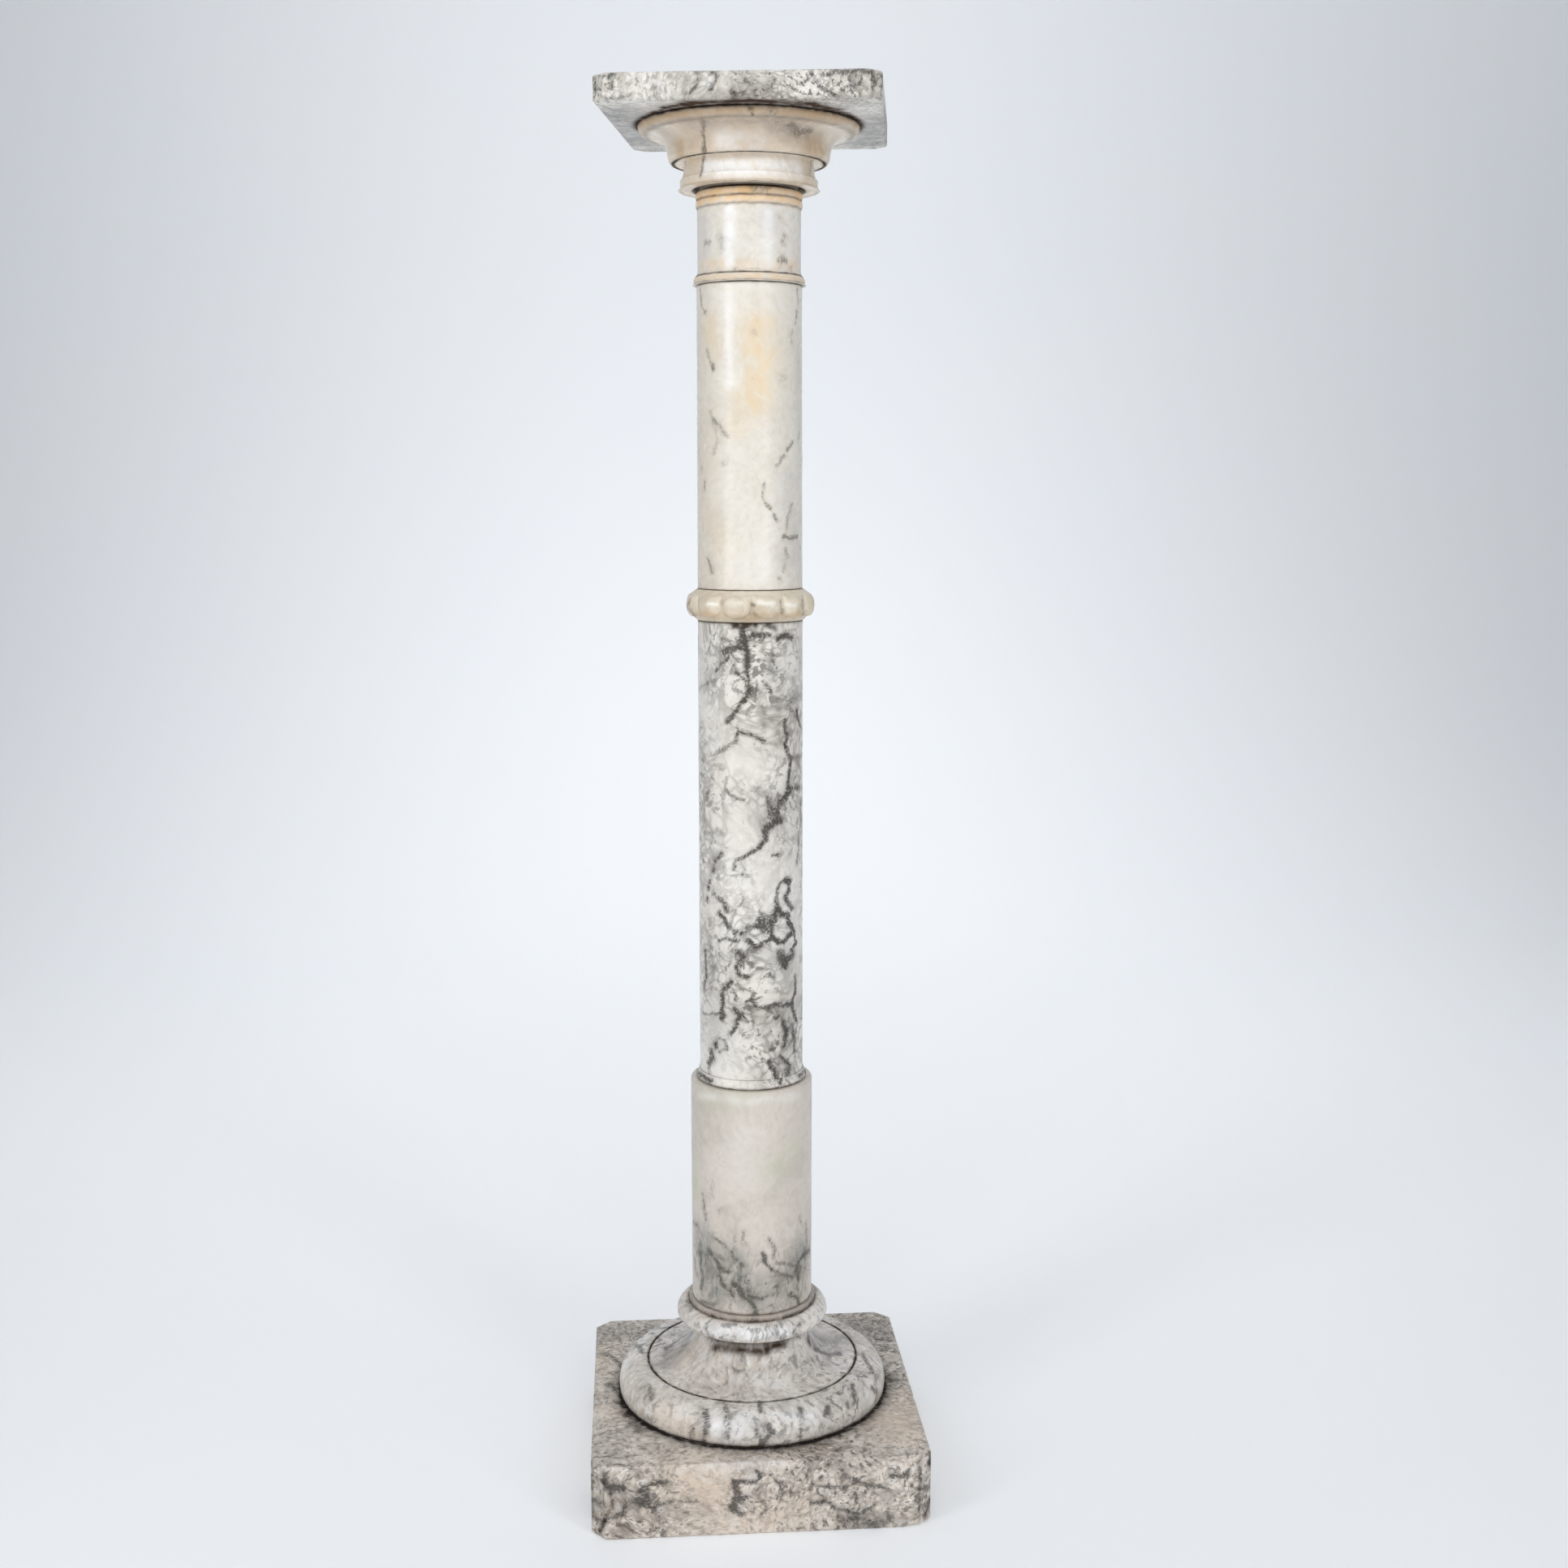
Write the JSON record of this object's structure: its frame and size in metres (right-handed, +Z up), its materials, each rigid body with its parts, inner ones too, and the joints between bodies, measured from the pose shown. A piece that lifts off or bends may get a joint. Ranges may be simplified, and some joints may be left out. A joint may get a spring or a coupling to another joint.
{
  "type": "marble pedestal",
  "caption": "Tall round marble column pedestal: square plinth, turned base, two shafts with a carved collar, turned capital and a square top slab for a bust or vase.",
  "frame": {"origin": "middle of the plinth's underside, on the column's axis", "axes": "+Z up along the column; X and Y along the plinth's sides"},
  "size_m": [0.2668, 0.2668, 1.1],
  "materials": {
    "plinth": "worn polished pinkish grey marble with a dense dark web of veins",
    "base_moulding": "polished white marble with bluish grey veins, brown grime in the hollows",
    "lower_drum": "polished greyish pink marble with dark veins towards its foot",
    "lower_shaft": "polished off-white marble with a strong dark grey web of veins",
    "carved_collar": "satin tan marble, darker in the carving",
    "upper_shaft": "polished cream marble with sparse fine grey veins and a peach stain",
    "neck": "polished cream marble with orange stained bead rings",
    "capital": "polished warm cream marble with grey veins and brown grime at the rim",
    "top_slab": "cream breccia with dense dark grey veins, grey below"
  },
  "bodies": {
    "root": {"plinth": "plinth", "base_moulding": "base_moulding", "lower_drum": "lower_drum", "lower_shaft": "lower_shaft", "carved_collar": "carved_collar", "upper_shaft": "upper_shaft", "neck": "neck", "capital": "capital", "top_slab": "top_slab"}
  },
  "joints": []
}
